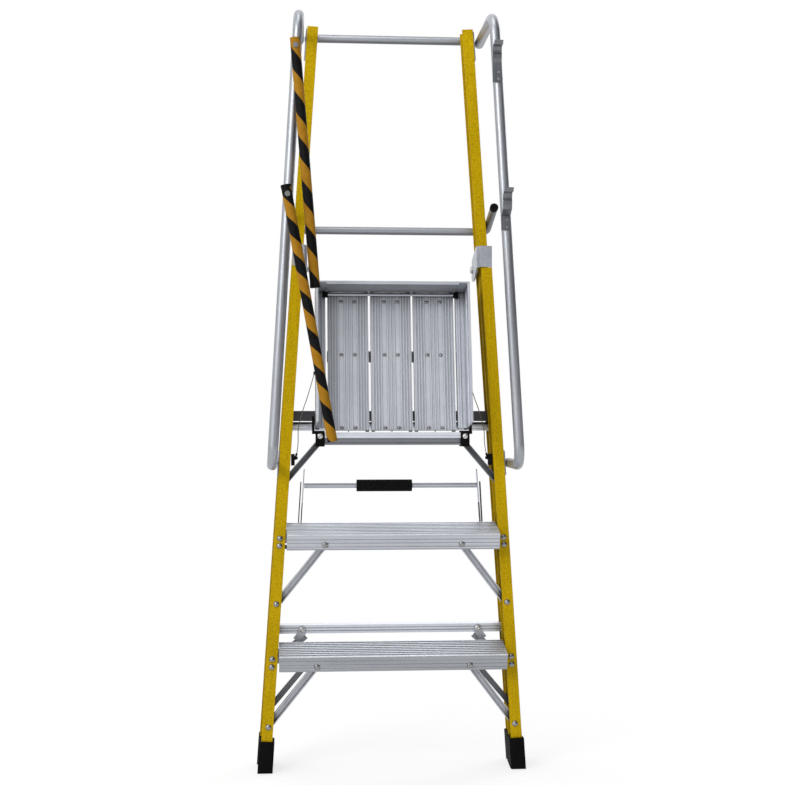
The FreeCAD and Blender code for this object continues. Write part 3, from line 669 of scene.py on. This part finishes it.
me = bpy.data.meshes.new("floor")
me.from_pydata([(-30, -30, 0), (30, -30, 0), (30, 30, 0), (-30, 30, 0)], [], [(0, 1, 2, 3)])
floor = bpy.data.objects.new("floor", me)
bpy.context.scene.collection.objects.link(floor)
fm, fnt, fb = new_mat("floor_pale")
fb.inputs["Base Color"].default_value = (0.93, 0.93, 0.93, 1)
fb.inputs["Roughness"].default_value = 0.85
fb.inputs["Specular IOR Level"].default_value = 0.0
geo = node(fnt, "ShaderNodeTexCoord")
ln = node(fnt, "ShaderNodeVectorMath", operation="LENGTH")
fnt.links.new(geo.outputs["Object"], ln.inputs[0])
fade = ramp(fnt, math_n(fnt, "MULTIPLY", ln.outputs["Value"], 0.4), [(0.05, 0.62), (0.45, 1.0)])
em = node(fnt, "ShaderNodeEmission")
em.inputs["Color"].default_value = (1, 1, 1, 1)
em.inputs["Strength"].default_value = 1.0
ms = node(fnt, "ShaderNodeMixShader")
outn = fnt.nodes["Material Output"]
fnt.links.new(fade, ms.inputs[0])
fnt.links.new(fb.outputs[0], ms.inputs[1])
fnt.links.new(em.outputs[0], ms.inputs[2])
fnt.links.new(ms.outputs[0], outn.inputs["Surface"])
me.materials.append(fm)
floor.location = (0, 0, -0.0005)

w = bpy.data.worlds.new("studio")
bpy.context.scene.world = w
w.use_nodes = True
wt = w.node_tree
bg = wt.nodes["Background"]
tcw = node(wt, "ShaderNodeTexCoord")
sepw = node(wt, "ShaderNodeSeparateXYZ")
wt.links.new(tcw.outputs["Generated"], sepw.inputs[0])
# brightness falls from upper left front to lower right back
gx = math_n(wt, "MULTIPLY", sepw.outputs["X"], -0.42)
gz = math_n(wt, "MULTIPLY", sepw.outputs["Z"], 0.30)
gy = math_n(wt, "MULTIPLY", sepw.outputs["Y"], -0.10)
g = math_n(wt, "ADD", math_n(wt, "ADD", gx, gz), gy)
g = math_n(wt, "ADD", g, 0.42)
hb = node(wt, "ShaderNodeClamp")
wt.links.new(math_n(wt, "SUBTRACT", math_n(wt, "ADD", math_n(wt, "MULTIPLY", sepw.outputs["Y"], 1.1),
                                          math_n(wt, "MULTIPLY", sepw.outputs["Z"], 1.5)), 1.0), hb.inputs[0])
g = math_n(wt, "ADD", g, math_n(wt, "MULTIPLY", hb.outputs[0], 1.9))
# the sky straight above is dimmer, so that flat tops keep their shape from above
zen = node(wt, "ShaderNodeClamp")
wt.links.new(math_n(wt, "MULTIPLY", math_n(wt, "SUBTRACT", sepw.outputs["Z"], 0.72), 4.5), zen.inputs[0])
g = math_n(wt, "SUBTRACT", g, math_n(wt, "MULTIPLY", zen.outputs[0], 1.0))
studio = ramp(wt, g, [(0.02, (0.035, 0.035, 0.04)), (0.30, (0.16, 0.16, 0.175)), (0.55, (0.52, 0.53, 0.56)), (0.85, (1.0, 1.0, 1.0)), (1.0, (1.35, 1.35, 1.36))])
lp = node(wt, "ShaderNodeLightPath")
colw = mix(wt, lp.outputs["Is Camera Ray"], studio, (1.0, 1.0, 1.0))
wt.links.new(colw, bg.inputs["Color"])
bg.inputs["Strength"].default_value = 1.0


def area(name, loc, target, size, power):
    d = bpy.data.lights.new(name, "AREA")
    d.shape = "RECTANGLE"
    d.size, d.size_y = size
    d.energy = power
    o = bpy.data.objects.new(name, d)
    bpy.context.scene.collection.objects.link(o)
    o.location = loc
    v = Vector(target) - Vector(loc)
    o.rotation_euler = v.to_track_quat("-Z", "Y").to_euler()
    return o


area("key", (-2.4, -3.0, 2.6), (0, 0, 0.9), (1.5, 1.8), 66)
area("top", (-0.2, -0.9, 4.0), (0, 0, 0.6), (1.6, 1.6), 26)
area("rim", (2.4, 2.2, 2.6), (0, 0, 1.0), (0.8, 2.0), 18)

bpy.context.scene.view_settings.view_transform = "Standard"
bpy.context.scene.view_settings.look = "None"
